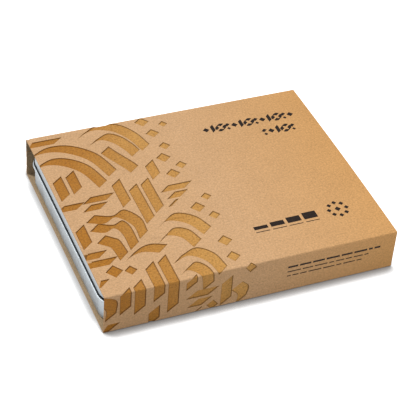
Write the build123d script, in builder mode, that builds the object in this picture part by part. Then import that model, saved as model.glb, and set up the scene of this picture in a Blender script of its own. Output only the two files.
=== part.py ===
from math import cos, radians

from build123d import *

# A calligraphy set: a hinged, drawn tin inside an open-ended sleeve of kraft board. The tin holds
# a formed tray with an eight-sided pen, two spare nib units, ink cartridges and a folded leaflet.
# Millimetres. X runs along the sleeve's long edge, Y to its back, Z up. The origin lies on the
# table, under the middle of the sleeve.

# ------------------------------------------------------------------ driving dimensions
# Tin: drawn tinplate
gauge = 0.3  # sheet thickness
tin_length = 170.0  # over the walls, along X
tin_depth = 137.0  # over the walls, along Y
tin_height = 24.4  # closed, over the lid's raised panel
tin_corner = 12.0  # plan radius of the walls
foot_radius = 2.0  # between wall and floor
lid_edge_radius = 1.0  # between skirt and top
panel_step = 0.5  # floor and lid panels stand this far in or up
panel_border = 7.0  # flat border round each panel
panel_slope = 0.8  # plan width of the step
bead_level = 14.5  # bead's middle, above the tin's underside
bead_radius = 0.8
bead_bevel = 0.45  # between the bead's crest and its flanks
bead_reach = 1.2  # how far the bead stands out of the wall
bend_flats = 2  # the bends at the foot and the lid's edge are made of this many flats
groove = 0.9  # open line between the bead and the lid's edge
hem = 0.9  # width of the turned-in edges
hem_rise = 1.3
lid_gap = 0.2  # between the lid's curl and the base's neck
rest_gap = 0.05  # between faces that lie on each other

# Hinges: two, each of three knuckles on a wire
hinge_spread = 90.0  # between the hinges' middles
hinge_length = 16.0
lid_knuckle = 7.4
knuckle_gap = 0.3
knuckle_flats = 8
wire_radius = 0.55
wire_clearance = 0.05
hinge_reach = 0.25  # pin's axis, out of the wall

# Sleeve: folded board, glued at the back
board = 0.6
slide_gap = 0.1  # under the tin
top_gap = 0.3  # over the tin
side_gap = 0.4  # from bead to board
end_recess = 0.3  # the bead lies this far inside the sleeve's ends
fold_radius = 0.9
crown = 1.0  # the top panel bows up between its folds
flap_width = 17.0
raw_edge_lift = 0.2  # cut edge of the back panel, off the table

# Tray: one formed sheet
tray_sheet = 0.6
tray_gap = 0.25  # to the rim's edge, so that the tray lifts out
tray_foot_gap = 0.1
trough_gap = 0.3  # round what lies in a trough
trough_inset = 5.0  # from a trough's end to the tray's side
pen_from_back = 30.5  # pen's axis, from the tin's back wall
unit_from_side = 30.0  # first nib unit's axis, from the tray's left side
unit_spacing = 28.0
unit_shoulder_y = -7.0
unit_end_room = 1.5
finger_radius = 11.0
finger_depth = 11.0
finger_from_side = 52.0
pocket_from_side = 38.0  # pocket's middle, from the tray's right side
pocket_corner = 3.0
pocket_room = 0.6
cartridge_pitch = 7.7
cartridge_count = 3

# Leaflet: one sheet folded to four leaves
leaf_length = 148.0
leaf_depth = 105.0
leaf_thickness = 0.22
leaf_gap = 0.08
leaf_count = 4
leaf_fold = 0.5  # radius of the outer fold

# Pen: eight-sided barrel, cap and grip, their radii taken over the corners
pen_sides = 8
pen_radius = 7.2
barrel_length = 56.0
barrel_nose = 7.0  # the barrel narrows over this length
barrel_nose_step = 1.8  # by this much on each flat
barrel_bore = 4.4
barrel_bore_depth = 49.0
tenon_length = 4.0
cap_length = 46.0
cap_wall = 1.1  # at the middle of a flat
cap_end = 1.5
cap_fit = 0.1
cap_bevel = 0.8
cap_travel = 46.0
trough_end_room = 1.5
band_start = 3.0
band_width = 3.0
band_depth = 0.45
finial_length = 3.6
finial_bevel = 1.6
rivet_radius = 2.0
rivet_depth = 2.5
clip_thickness = 0.8
clip_width = 3.6
clip_length = 36.0
clip_lift = 0.5  # free space under the clip
clip_bend = 0.9
clip_foot = 1.4  # length of the pad at the clip's tip
clip_root = 3.0  # where the arm leaves its plate, above the pen's axis

# Nib units: grip section, feed and nib
spigot_radius = 4.3
spigot_length = 7.0
nipple_radius = 1.25
nipple_length = 4.0
grip_length = 17.0
grip_radius = 5.1
grip_slope = 0.7  # the grip narrows by this much on each side
grip_band = 1.0  # straight band at the grip's shoulder
grip_bore = 3.0
bore_bottom = -2.0
feed_radius = 2.5
feed_root = 8.9  # end of the feed's thick root
fin_radius = 3.6
fin_top = -0.6
fin_thickness = 0.5
fin_pitch = 1.8
fin_count = 6
feed_tip_start = 29.0
feed_tip_end = 35.0
feed_tip = 0.9  # thickness that the slant leaves
nib_sheet = 0.3
nib_start = 9.0
nib_shoulder = 21.0
nib_breather = 26.0
nib_waist = 32.0
nib_end = 38.0
nib_radius = 2.9
nib_wrap = 80.0  # degrees to each side of the ridge
nib_waist_width = 3.8
breather_radius = 0.6
slit_width = 0.12
pen_nib_width = 1.1
spare_nib_widths = (1.5, 1.9)

# Ink cartridges, short pattern
cartridge_length = 38.0
cartridge_radius = 3.75
neck_length = 6.0
neck_radius = 2.4
neck_clearance = 0.05

# ------------------------------------------------------------------ places worked out
tin_y = -board / 2  # the glued flap takes one board at the back
tin_floor = board + slide_gap
tin_top = tin_floor + tin_height
front_y = tin_y - tin_depth / 2
back_y = tin_y + tin_depth / 2
bead_z = tin_floor + bead_level
bead_top = bead_z + bead_radius
lid_edge = bead_top + groove
neck_inset = hem + lid_gap
rim_top = tin_top - panel_step - gauge - rest_gap
panel_inset = panel_border + 2 * panel_slope

sleeve_length = tin_length + 2 * bead_reach + 2 * end_recess
sleeve_depth = tin_depth + 2 * bead_reach + 2 * side_gap + 3 * board
sleeve_height = tin_height + slide_gap + top_gap + 2 * board

pin_y = back_y + hinge_reach
pin_z = bead_top + groove / 2
knuckle_bore = wire_radius + wire_clearance
knuckle_radius = knuckle_bore + gauge
base_knuckle = (hinge_length - lid_knuckle) / 2 - knuckle_gap
window_length = hinge_length + 2 * knuckle_gap

leaflet_thickness = leaf_count * leaf_thickness + (leaf_count - 1) * leaf_gap
tray_inset = neck_inset + hem + tray_gap
tray_length = tin_length - 2 * tray_inset
tray_depth = tin_depth - 2 * tray_inset
tray_corner = tin_corner - tray_inset
tray_floor = tin_floor + gauge + tray_foot_gap
tray_top = rim_top - leaflet_thickness - 2 * rest_gap

pen_flat = pen_radius * cos(radians(180 / pen_sides))  # from the pen's axis to its flats
clip_top = pen_flat + clip_lift + clip_thickness
trough_radius = pen_radius + trough_gap
trough_end = tray_length / 2 - trough_inset
pen_y = back_y - pen_from_back
pen_z = tray_top - trough_gap - clip_top
pen_total = barrel_length + cap_length + clip_thickness + finial_length
pen_x = -trough_end + trough_end_room + barrel_length
trough_length = pen_total + cap_travel + 2 * trough_end_room
unit_radius = grip_radius + trough_gap
unit_z = tray_top - unit_radius
unit_length = spigot_length + nipple_length + nib_end
pocket_width = cartridge_count * cartridge_pitch + 2 * pocket_room
pocket_length = cartridge_length + 2 * pocket_room
pocket_floor = tray_top - 2 * cartridge_radius - trough_gap
pocket_x = tray_length / 2 - pocket_from_side
pocket_y = unit_shoulder_y - (nib_end - spigot_length - nipple_length) / 2

pen_frame = Plane((pen_x, pen_y, pen_z), x_dir=(1, 0, 0), z_dir=(0, 0, 1))
cap_bore = pen_flat - cap_wall
cap_inside = cap_length - cap_end
tenon_radius = cap_bore - cap_fit
finial_start = cap_length + clip_thickness


def along(frame, distance):
    """The same frame, moved along its own axis."""
    return Plane(frame.from_local_coords((distance, 0, 0)), x_dir=frame.x_dir, z_dir=frame.z_dir)


def across(frame, distance):
    """Plane square to a frame's axis: x sideways, y up."""
    origin = frame.from_local_coords((distance, 0, 0))
    return Plane(origin, x_dir=frame.y_dir, z_dir=frame.x_dir)


def beside(frame):
    """Plane through a frame's axis, seen from the side: x along the axis, y up."""
    return Plane(frame.origin, x_dir=frame.x_dir, z_dir=-frame.y_dir)


def axis_of(frame):
    return Axis(frame.origin, frame.x_dir)


def eight_sided(radius, mode=Mode.ADD):
    """The pen's section with a flat on top, radius over the corners."""
    return RegularPolygon(radius, pen_sides, rotation=180 / pen_sides, mode=mode)


def save(piece, name):
    piece.label = name
    export_step(piece, f"parts/{name}.step")


# ------------------------------------------------------------------ sleeve
with BuildPart() as sleeve:
    with BuildSketch(Plane.YZ.offset(-sleeve_length / 2)) as sleeve_section:
        side = sleeve_depth / 2
        with BuildLine():
            Polyline((-side, sleeve_height), (-side, 0), (side, 0), (side, sleeve_height))
            ThreePointArc((-side, sleeve_height), (0, sleeve_height + crown), (side, sleeve_height))
        make_face()
        fillet(sleeve_section.vertices(), fold_radius)
        offset(amount=-board, mode=Mode.SUBTRACT)
        with Locations((side - board, board)):
            Rectangle(board, flap_width, align=(Align.MAX, Align.MIN))
        with Locations((side, 0)):
            Rectangle(board, raw_edge_lift, align=(Align.MAX, Align.MIN), mode=Mode.SUBTRACT)
    extrude(amount=sleeve_length)
sleeve.part.label = "sleeve"
export_step(sleeve.part, "parts/sleeve.step")


# ------------------------------------------------------------------ tin
wall_plane = Plane((0, front_y, 0), x_dir=(0, -1, 0), z_dir=(-1, 0, 0))
hinge_places = (-hinge_spread / 2, hinge_spread / 2)
base_knuckle_offset = (hinge_length - base_knuckle) / 2
base_knuckle_places = [x + side * base_knuckle_offset for x in hinge_places for side in (-1, 1)]


def half_wall_path():
    """Half of the tin's plan, from the middle of the front to the middle of the back."""
    left = -tin_length / 2
    with BuildLine() as path:
        FilletPolyline((0, front_y), (left, front_y), (left, back_y), (0, back_y), radius=tin_corner)
    return path.line


def sheet_ring(points, bends):
    """A folded strip of sheet, run round half the plan and mirrored."""
    with BuildSketch(wall_plane) as section:
        with BuildLine():
            corners = []
            for edge in FilletPolyline(*points, radius=bends, mode=Mode.PRIVATE).order_edges():
                steps = bend_flats if edge.geom_type == GeomType.CIRCLE else 1
                corners += [edge.position_at(step / steps) for step in range(steps)]
            Polyline(*corners, points[-1])
            offset(amount=gauge, side=Side.LEFT, kind=Kind.INTERSECTION)
        make_face()
    sweep(sections=section.sketch, path=half_wall_path())
    mirror(about=Plane.YZ)


def roll_knuckles(places, width):
    """Knuckles rolled round the wire's axis, each bored for the wire."""
    for radius, way in ((knuckle_radius, Mode.ADD), (knuckle_bore, Mode.SUBTRACT)):
        with BuildSketch(*[Plane.YZ.offset(x) for x in places]) as roll:
            with Locations((pin_y, pin_z)):
                RegularPolygon(radius, knuckle_flats, major_radius=False, rotation=180 / knuckle_flats)
        extrude(roll.sketch, amount=width / 2, both=True, mode=way)


with BuildPart() as tin_base:
    base_line = (
        (-panel_inset, tin_floor + panel_step),
        (-panel_border, tin_floor + panel_step),
        (panel_slope - panel_border, tin_floor),
        (0, tin_floor),
        (0, bead_z - bead_radius),
        (bead_reach - bead_bevel, bead_z - bead_radius),
        (bead_reach, bead_z - bead_radius + bead_bevel),
        (bead_reach, bead_top - bead_bevel),
        (bead_reach - bead_bevel, bead_top),
        (-neck_inset, bead_top),
        (-neck_inset, rim_top),
        (-neck_inset - hem, rim_top),
        (-neck_inset - hem, rim_top - hem_rise),
    )
    sheet_ring(base_line, (0, 0, foot_radius, 0, 0, 0, 0, 0, 0, 0, 0))
    with BuildSketch(Plane.XY.offset(tin_floor + panel_step)):
        with Locations((0, tin_y)):
            RectangleRounded(
                tin_length - 2 * panel_inset, tin_depth - 2 * panel_inset, tin_corner - panel_inset
            )
    extrude(amount=gauge)
    # the bead is pierced at each hinge, and the wall runs up into two knuckles
    window_floor = bead_z - bead_radius
    strip_floor = window_floor - gauge
    strip_top = pin_z - knuckle_radius - knuckle_gap / 2
    with Locations(*[(x, back_y - neck_inset + gauge, window_floor) for x in hinge_places]):
        Box(
            window_length,
            2 * neck_inset,
            lid_edge - window_floor + hem,
            align=(Align.CENTER, Align.MIN, Align.MIN),
            mode=Mode.SUBTRACT,
        )
    with Locations(*[(x, back_y, strip_floor) for x in hinge_places]):
        Box(window_length, gauge, strip_top - strip_floor, align=(Align.CENTER, Align.MAX, Align.MIN))
    with Locations(*[(x, back_y, window_floor) for x in base_knuckle_places]):
        Box(
            base_knuckle,
            gauge,
            pin_z - knuckle_bore - window_floor,
            align=(Align.CENTER, Align.MAX, Align.MIN),
        )
    roll_knuckles(base_knuckle_places, base_knuckle)
tin_base.part.label = "tin_base"
export_step(tin_base.part, "parts/tin_base.step")

with BuildPart() as tin_lid:
    border_z = tin_top - panel_step
    lid_line = (
        (-panel_inset, tin_top),
        (-panel_border, tin_top),
        (panel_slope - panel_border, border_z),
        (0, border_z),
        (0, lid_edge),
        (-hem, lid_edge),
        (-hem, lid_edge + hem_rise),
    )
    sheet_ring(lid_line, (0, 0, lid_edge_radius, 0, 0))
    with BuildSketch(Plane.XY.offset(tin_top - gauge)):
        with Locations((0, tin_y)):
            RectangleRounded(
                tin_length - 2 * panel_inset, tin_depth - 2 * panel_inset, tin_corner - panel_inset
            )
    extrude(amount=gauge)
    # the skirt is notched at each hinge, and a tongue of it curls round the wire
    notch_top = pin_z + knuckle_radius + knuckle_gap
    with Locations(*[(x, back_y + gauge, lid_edge - gauge) for x in hinge_places]):
        Box(
            window_length,
            neck_inset + gauge,
            notch_top - lid_edge + gauge,
            align=(Align.CENTER, Align.MAX, Align.MIN),
            mode=Mode.SUBTRACT,
        )
    with Locations(*[(x, back_y, notch_top + gauge) for x in hinge_places]):
        Box(
            lid_knuckle,
            gauge,
            notch_top + gauge - pin_z - knuckle_bore,
            align=(Align.CENTER, Align.MAX, Align.MAX),
        )
    roll_knuckles(hinge_places, lid_knuckle)
tin_lid.part.label = "tin_lid"
export_step(tin_lid.part, "parts/tin_lid.step")

for place_x, side_name in zip(hinge_places, ("left", "right")):
    with BuildPart() as hinge_pin:
        with BuildSketch(Plane.YZ.offset(place_x)):
            with Locations((pin_y, pin_z)):
                Circle(wire_radius)
        extrude(amount=hinge_length / 2, both=True)
    hinge_pin.part.label = f"hinge_pin_{side_name}"
    export_step(hinge_pin.part, f"parts/hinge_pin_{side_name}.step")


# ------------------------------------------------------------------ tray and leaflet
pen_trough = Plane((-trough_end, pen_y, pen_z), x_dir=(0, 1, 0), z_dir=(1, 0, 0))
unit_frames = [
    Plane(
        (unit_from_side - tray_length / 2 + i * unit_spacing, unit_shoulder_y, unit_z),
        x_dir=(0, -1, 0),
        z_dir=(0, 0, 1),
    )
    for i in range(len(spare_nib_widths))
]
unit_troughs = [across(frame, -spigot_length - nipple_length - unit_end_room) for frame in unit_frames]
troughs = [(pen_trough, trough_radius, trough_length)]
troughs += [(plane, unit_radius, unit_length + 2 * unit_end_room) for plane in unit_troughs]

with BuildPart() as tray:
    with BuildSketch(Plane.XY.offset(tray_floor)):
        with Locations((0, tin_y)):
            RectangleRounded(tray_length, tray_depth, tray_corner)
    extrude(amount=tray_top - tray_floor)
    with BuildSketch(Plane.XY.offset(tray_floor)):
        with Locations((0, tin_y)):
            RectangleRounded(
                tray_length - 2 * tray_sheet, tray_depth - 2 * tray_sheet, tray_corner - tray_sheet
            )
    extrude(amount=tray_top - tray_floor - tray_sheet, mode=Mode.SUBTRACT)
    # each hollow is pressed down into the sheet: its outside first, then its inside
    for sheet, way in ((tray_sheet, Mode.ADD), (0, Mode.SUBTRACT)):
        for plane, radius, length in troughs:
            with BuildSketch(plane.offset(-sheet)):
                Circle(radius + sheet)
                Rectangle(
                    2 * (radius + sheet), radius + sheet, align=(Align.CENTER, Align.MIN), mode=Mode.SUBTRACT
                )
                Rectangle(
                    2 * (radius + sheet), tray_top - plane.origin.Z, align=(Align.CENTER, Align.MIN)
                )
            extrude(amount=length + 2 * sheet, mode=way)
        with BuildSketch(Plane.XY.offset(tray_top - finger_depth - sheet)):
            with Locations((finger_from_side - tray_length / 2, pen_y)):
                Circle(finger_radius + sheet)
        extrude(amount=finger_depth + sheet, mode=way)
        with BuildSketch(Plane.XY.offset(pocket_floor - sheet)):
            with Locations((pocket_x, pocket_y)):
                RectangleRounded(
                    pocket_width + 2 * sheet, pocket_length + 2 * sheet, pocket_corner + sheet
                )
        extrude(amount=tray_top - pocket_floor + sheet, mode=way)
tray.part.label = "tray"
export_step(tray.part, "parts/tray.step")

with BuildPart() as leaflet:
    leaflet_z = tray_top + rest_gap
    spine = Plane((0, tin_y - leaf_depth / 2, leaflet_z), x_dir=(1, 0, 0), z_dir=(0, -1, 0))
    with BuildSketch(spine):
        with Locations((-leaf_length / 2, 0)):
            Rectangle(leaf_length, leaflet_thickness, align=(Align.MIN, Align.MIN))
        for i in range(1, leaf_count):
            with Locations((-leaf_length / 2 + leaflet_thickness, i * (leaf_thickness + leaf_gap))):
                Rectangle(leaf_length, leaf_gap, align=(Align.MIN, Align.MAX), mode=Mode.SUBTRACT)
    extrude(amount=-leaf_depth)
    folds = leaflet.edges().filter_by(Axis.Y).group_by(Axis.X)[0]
    fillet(folds, leaf_fold)
leaflet.part.label = "leaflet"
export_step(leaflet.part, "parts/leaflet.step")


# ------------------------------------------------------------------ nib units
def make_section(frame):
    """Grip section: nipple and spigot behind the shoulder, tapered eight-sided grip in front."""
    with BuildPart() as section:
        with BuildSketch(across(frame, 0)):
            eight_sided(grip_radius)
        extrude(amount=grip_length)
        grip_front = section.faces().sort_by(axis_of(frame))[-1]
        chamfer(grip_front.edges(), grip_slope, grip_length - grip_band, reference=grip_front)
        with BuildSketch(across(frame, 0)):
            Circle(spigot_radius)
        extrude(amount=-spigot_length)
        with BuildSketch(across(frame, -spigot_length)):
            Circle(nipple_radius)
        extrude(amount=-nipple_length)
        with BuildSketch(across(frame, bore_bottom)):
            Circle(grip_bore)
        extrude(amount=grip_length - bore_bottom, mode=Mode.SUBTRACT)
    return section.part


def make_feed(frame):
    """Feed: a root held in the section, a stem with fins below, a slanted tip."""
    with BuildPart() as feed:
        with BuildSketch(across(frame, bore_bottom + rest_gap)):
            eight_sided(grip_bore - 2 * rest_gap)
        extrude(amount=feed_root - bore_bottom - rest_gap)
        with BuildSketch(across(frame, feed_root)):
            eight_sided(feed_radius)
        extrude(amount=feed_tip_end - feed_root)
        fin_places = [grip_length + fin_thickness + i * fin_pitch for i in range(fin_count)]
        with BuildSketch(*[across(frame, place) for place in fin_places]):
            eight_sided(fin_radius)
            with Locations((0, fin_top)):
                Rectangle(
                    2 * fin_radius, 2 * fin_radius, align=(Align.CENTER, Align.MIN), mode=Mode.SUBTRACT
                )
        extrude(amount=fin_thickness)
        with BuildSketch(beside(frame)):
            with BuildLine():
                Polyline(
                    (feed_tip_start, -feed_radius),
                    (feed_tip_end, feed_radius - feed_tip),
                    (feed_tip_end, -feed_radius),
                    close=True,
                )
            make_face()
        extrude(amount=feed_radius, both=True, mode=Mode.SUBTRACT)
    return feed.part


def make_nib(frame, tip_width):
    """Broad-edged nib: sheet rolled round the feed, cut to a square tip, slit and pierced."""
    with BuildPart() as nib:
        with BuildSketch(across(frame, nib_start)):
            with BuildLine():
                outer = CenterArc((0, 0), nib_radius, 90 - nib_wrap, 2 * nib_wrap)
                inner = CenterArc((0, 0), nib_radius - nib_sheet, 90 - nib_wrap, 2 * nib_wrap)
                Line(outer @ 0, inner @ 0)
                Line(outer @ 1, inner @ 1)
            make_face()
        extrude(amount=nib_end - nib_start)
        with BuildSketch(frame):
            with BuildLine():
                Polyline((nib_start, 0), (nib_start, nib_radius), (nib_shoulder, nib_radius))
                ThreePointArc(
                    (nib_shoulder, nib_radius), (nib_waist, nib_waist_width / 2), (nib_end, tip_width / 2)
                )
                Line((nib_end, tip_width / 2), (nib_end, 0))
                mirror(about=Plane.XZ)
            make_face()
        extrude(amount=2 * nib_radius, mode=Mode.INTERSECT)
        with BuildSketch(frame):
            with Locations((nib_breather, 0)):
                Circle(breather_radius)
                Rectangle(nib_end, slit_width, align=(Align.MIN, Align.CENTER))
        extrude(amount=2 * nib_radius, mode=Mode.SUBTRACT)
    return nib.part


pen_unit = along(pen_frame, tenon_length)
save(make_section(pen_unit), "pen_section")
save(make_feed(pen_unit), "pen_feed")
save(make_nib(pen_unit, pen_nib_width), "pen_nib")
for number, (frame, width) in enumerate(zip(unit_frames, spare_nib_widths), start=1):
    save(make_section(frame), f"spare_section_{number}")
    save(make_feed(frame), f"spare_feed_{number}")
    save(make_nib(frame, width), f"spare_nib_{number}")


# ------------------------------------------------------------------ pen
with BuildPart() as pen_barrel:
    with BuildSketch(across(pen_frame, 0)):
        eight_sided(pen_radius)
    extrude(amount=-barrel_length)
    barrel_end = pen_barrel.faces().sort_by(Axis.X)[0]
    chamfer(barrel_end.edges(), barrel_nose_step, barrel_nose, reference=barrel_end)
    with BuildSketch(across(pen_frame, 0)):
        Circle(tenon_radius)
    extrude(amount=tenon_length)
    with BuildSketch(across(pen_frame, tenon_length)):
        Circle(barrel_bore)
    extrude(amount=-barrel_bore_depth, mode=Mode.SUBTRACT)
pen_barrel.part.label = "pen_barrel"
export_step(pen_barrel.part, "parts/pen_barrel.step")

with BuildPart() as pen_cap:
    with BuildSketch(across(pen_frame, 0)):
        eight_sided(pen_radius)
    extrude(amount=cap_length)
    chamfer(pen_cap.faces().filter_by(Axis.X).sort_by(Axis.X)[-1].edges(), cap_bevel)
    with BuildSketch(across(pen_frame, 0)):
        Circle(cap_bore)
    extrude(amount=cap_inside, mode=Mode.SUBTRACT)
    with BuildSketch(across(pen_frame, cap_inside)):
        Circle(rivet_radius + cap_fit)
    extrude(amount=cap_end, mode=Mode.SUBTRACT)
    with BuildSketch(across(pen_frame, band_start)):
        eight_sided(pen_radius)
        eight_sided(pen_radius - band_depth, mode=Mode.SUBTRACT)
    extrude(amount=band_width, mode=Mode.SUBTRACT)
pen_cap.part.label = "pen_cap"
export_step(pen_cap.part, "parts/pen_cap.step")

with BuildPart() as cap_band:
    with BuildSketch(across(pen_frame, band_start + rest_gap)):
        eight_sided(pen_radius + rest_gap)
        eight_sided(pen_radius - band_depth + rest_gap, mode=Mode.SUBTRACT)
    extrude(amount=band_width - 2 * rest_gap)
cap_band.part.label = "cap_band"
export_step(cap_band.part, "parts/cap_band.step")

with BuildPart() as cap_finial:
    with BuildSketch(across(pen_frame, finial_start)):
        eight_sided(pen_radius - cap_bevel)
    extrude(amount=finial_length)
    chamfer(cap_finial.faces().sort_by(Axis.X)[-1].edges(), finial_bevel)
    with BuildSketch(across(pen_frame, finial_start)):
        Circle(rivet_radius)
    extrude(amount=-rivet_depth - clip_thickness)
cap_finial.part.label = "cap_finial"
export_step(cap_finial.part, "parts/cap_finial.step")

with BuildPart() as pen_clip:
    plate_thickness = clip_thickness - 2 * rest_gap
    with BuildSketch(across(pen_frame, cap_length + rest_gap)):
        eight_sided(pen_radius - cap_bevel)
        Circle(rivet_radius + cap_fit, mode=Mode.SUBTRACT)
    extrude(amount=plate_thickness)
    with BuildSketch(beside(pen_frame)):
        with BuildLine():
            FilletPolyline(
                (finial_start - rest_gap, clip_root),
                (finial_start - rest_gap, clip_top),
                (cap_length - clip_length, clip_top - clip_lift / 2),
                radius=clip_bend,
            )
            offset(amount=plate_thickness, side=Side.LEFT)
        make_face()
        with Locations((cap_length - clip_length, pen_flat + rest_gap)):
            Rectangle(clip_foot, clip_lift, align=Align.MIN)
    extrude(amount=clip_width / 2, both=True)
pen_clip.part.label = "pen_clip"
export_step(pen_clip.part, "parts/pen_clip.step")


# ------------------------------------------------------------------ ink cartridges
def make_cartridge(frame):
    """Short cartridge, its mouth at the frame's origin and its body behind it."""
    with BuildPart() as cartridge:
        with BuildSketch(across(frame, -cartridge_length)):
            Circle(cartridge_radius)
        extrude(amount=cartridge_length - neck_length)
        with BuildSketch(across(frame, -neck_length)):
            Circle(neck_radius)
        extrude(amount=neck_length)
    return cartridge.part


# the one in the pen is pushed over the section's nipple
nipple_root = along(pen_unit, -spigot_length - rest_gap)
with BuildPart() as fitted_cartridge:
    add(make_cartridge(nipple_root))
    with BuildSketch(across(nipple_root, 0)):
        Circle(nipple_radius + neck_clearance)
    extrude(amount=-nipple_length - neck_clearance, mode=Mode.SUBTRACT)
save(fitted_cartridge.part, "fitted_cartridge")

pocket_end_y = pocket_y - cartridge_length / 2
spare_cartridges = []
for i in range(cartridge_count):
    place_x = pocket_x + (i - (cartridge_count - 1) / 2) * cartridge_pitch
    mouth = Plane(
        (place_x, pocket_end_y, pocket_floor + cartridge_radius + rest_gap),
        x_dir=(0, -1, 0),
        z_dir=(0, 0, 1),
    )
    spare_cartridges.append(make_cartridge(mouth))
save(Compound(children=spare_cartridges), "ink_cartridges")
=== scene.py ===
"""Looks for a calligraphy set box: a kraft board sleeve with pressed pen strokes, round a hinged tin."""

import math
import random

import bmesh
import bpy
import numpy as np
from bpy.props import FloatProperty, FloatVectorProperty, IntProperty, PointerProperty
from mathutils import Matrix, Vector
from mathutils.geometry import delaunay_2d_cdt


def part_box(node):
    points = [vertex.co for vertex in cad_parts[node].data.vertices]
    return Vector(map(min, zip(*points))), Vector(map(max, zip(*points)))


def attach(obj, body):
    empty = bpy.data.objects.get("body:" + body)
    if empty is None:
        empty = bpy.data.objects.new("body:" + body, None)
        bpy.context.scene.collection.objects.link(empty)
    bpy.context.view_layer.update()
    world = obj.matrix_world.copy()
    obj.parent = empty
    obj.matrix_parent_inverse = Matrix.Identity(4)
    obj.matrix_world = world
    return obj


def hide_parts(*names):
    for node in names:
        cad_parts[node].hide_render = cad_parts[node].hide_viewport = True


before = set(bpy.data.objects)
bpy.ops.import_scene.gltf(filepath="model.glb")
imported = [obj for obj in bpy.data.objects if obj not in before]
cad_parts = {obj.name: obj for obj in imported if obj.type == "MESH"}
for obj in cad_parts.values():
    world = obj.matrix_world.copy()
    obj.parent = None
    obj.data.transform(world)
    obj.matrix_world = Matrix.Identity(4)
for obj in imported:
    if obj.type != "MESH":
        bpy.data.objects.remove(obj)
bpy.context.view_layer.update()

bl_info = {
    "name": "Calligraphy set box",
    "version": (1, 0, 0),
    "blender": (4, 5, 0),
    "location": "View3D > Sidebar > Set box",
    "description": "Dresses a boxed calligraphy set: board sleeve, drawn tin, pen and contents",
    "category": "Object",
}

MM = 0.001
SLEEVE_LOW, SLEEVE_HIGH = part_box("sleeve")
BASE_LOW, BASE_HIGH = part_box("tin_base")
LID_LOW, LID_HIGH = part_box("tin_lid")
TOUCH = 1e-4  # points of the unrolled board this close count as touching, mm

# Order of the sleeve's materials
BARE, STROKE, INK, INSIDE, CUT_EDGE, STROKE_EDGE = range(6)
# the strokes' dark edge is painted shade on their sloping walls
EDGE_SHARE = 0.9  # of the press slope, which the strokes' dark edge covers
FADED_VARNISH = (0.67, 0.365, 0.105)
VARNISH_FADE = (12.0, 80.0)  # from the left end, in mm
KRAFT_WARMTH = (88.0, 172.0)
MARK_PITCH = 4.6  # between the printed pen marks, in mm

# Sizes of the tin that are not settings, in mm
BOARD = 0.6  # the glued flap keeps the tin's middle half of this in front of the sleeve's
HEM = 0.9  # width of the turned-in edges
HEM_RISE = 1.3
LID_GAP = 0.2  # between the lid's hem and the base's neck
PANEL_SLOPE = 0.8  # plan width of the step round a panel
PIN_REACH = 0.25  # the hinge's wire, out of the wall
HINGE_PLACES = (-45, 45)
WINDOW = 16.6  # length of the opening in the wall at a hinge
LID_KNUCKLE = 7.4
BASE_KNUCKLE = (4.0, 8.0)  # from the hinge's middle, on both sides
CURL_RADIUS = 0.75  # middle of the sheet that is rolled round the wire
CURL_TURN = math.radians(300)
CURL_STEPS = 24
CURL_START = 0.45  # the tongue first runs this far straight along the wall
CURL_ENTRY = 0.35  # and meets the roll this far short of the wire's level
STRIP_BEVEL = 0.08  # round the top of the sheet behind a hinge
PANEL_BEND = 1.1
BEAD_FOOT_BEND, BEAD_BEND, NECK_BEND, HEM_BEND = 0.35, 0.78, 0.32, 0.43


# ------------------------------------------------------------------ sizes and colours
def length(name, default, description):
    return FloatProperty(name=name, description=description, default=default, unit="LENGTH", precision=5)


def angle(name, degrees, description):
    return FloatProperty(name=name, description=description, default=math.radians(degrees), subtype="ANGLE")


def number(name, default, description):
    return FloatProperty(name=name, description=description, default=default)


def share(name, default, description):
    return FloatProperty(name=name, description=description, default=default, subtype="FACTOR")


def colour(name, default, description):
    return FloatVectorProperty(
        name=name, description=description, default=default, subtype="COLOR", size=3, min=0, max=1
    )


class SleeveSettings(bpy.types.PropertyGroup):
    board: length("Board", 0.6 * MM, "Thickness of the kraft board")
    fold: length("Fold radius", 0.9 * MM, "Outer radius of the folds")
    crown: length("Crown", 1.0 * MM, "How far the top panel bows up")
    flap: length("Glued flap", 17 * MM, "Height of the flap inside the back panel")
    raw_edge: length("Raw edge", 0.2 * MM, "Cut edge of the back panel, off the table")
    press_depth: length("Press depth", 0.42 * MM, "How far the strokes are pressed in")
    press_slope: length("Press slope", 0.45 * MM, "Width of the strokes' sloping edge")
    nib: length("Nib width", 8.2 * MM, "Pen width of the pressed strokes")
    nib_angle: angle("Nib angle", 38, "Angle of the pen's edge")
    kraft: colour("Kraft", (0.645, 0.385, 0.190), "Colour of the bare board")
    varnish: colour("Varnish", (0.450, 0.181, 0.019), "Colour of the pressed strokes at their darkest")
    ink: colour("Ink", (0.020, 0.013, 0.010), "Colour of the printed marks")


class TinSettings(bpy.types.PropertyGroup):
    gauge: length("Gauge", 0.3 * MM, "Thickness of the tinplate")
    corner: length("Corner radius", 12 * MM, "Plan radius of the walls")
    foot: length("Foot radius", 2 * MM, "Bend between floor and wall")
    lid_edge: length("Lid edge radius", 1.1 * MM, "Bend between the lid's top and its skirt")
    bead: length("Bead radius", 0.8 * MM, "Radius of the stop bead")
    bead_reach: length("Bead reach", 1.2 * MM, "How far the bead stands out of the wall")
    bead_level: length("Bead level", 15.2 * MM, "Height of the bead's middle")
    groove: length("Groove", 0.9 * MM, "Open line between bead and lid")
    panel_step: length("Panel step", 0.5 * MM, "Step of the floor and lid panels")
    panel_border: length("Panel border", 7 * MM, "Flat border round each panel")
    corner_steps: IntProperty(name="Corner steps", description="Points in each corner", default=24, min=4)
    plate: colour("Plate", (0.37, 0.40, 0.42), "Colour of the tinplate")
    plate_roughness: share("Plate roughness", 0.42, "How satin the plate is")


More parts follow.
